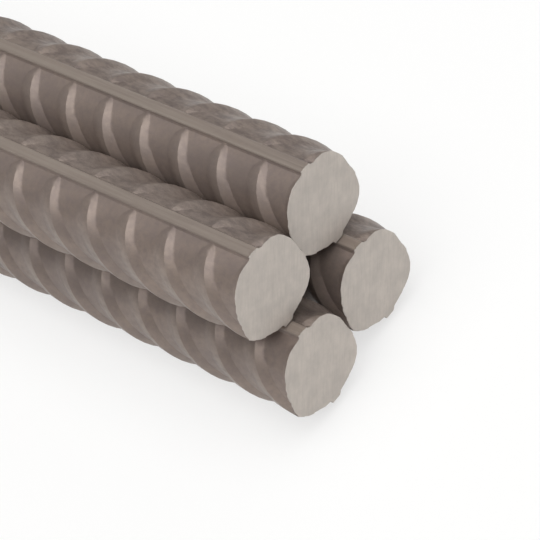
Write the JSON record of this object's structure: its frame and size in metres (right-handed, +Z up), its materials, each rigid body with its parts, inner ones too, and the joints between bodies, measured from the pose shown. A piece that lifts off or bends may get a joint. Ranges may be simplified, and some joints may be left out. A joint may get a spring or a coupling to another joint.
{
  "type": "rebar bundle",
  "caption": "Ribbed steel reinforcing bars stacked two by two with stepped saw-cut ends, held together by twisted wire ties.",
  "frame": {"origin": "middle of the bundle's footprint, on the level surface that its wire ties rest on", "axes": "+X along the bars towards the stepped saw-cut ends, +Y from the left pair of bars to the right pair seen facing those ends, +Z up"},
  "size_m": [1.0096, 0.0582, 0.067],
  "materials": {
    "rolled_steel": "hot-rolled mill scale, grey-brown, satin; ends saw-cut and pale",
    "annealed_wire": "annealed black tie wire, dull"
  },
  "bodies": {
    "root": {"bar_lower_left": "rolled_steel", "bar_lower_right": "rolled_steel", "bar_upper_left": "rolled_steel", "bar_upper_right": "rolled_steel", "wire_tie_front": "annealed_wire", "wire_tie_rear": "annealed_wire"}
  },
  "joints": []
}
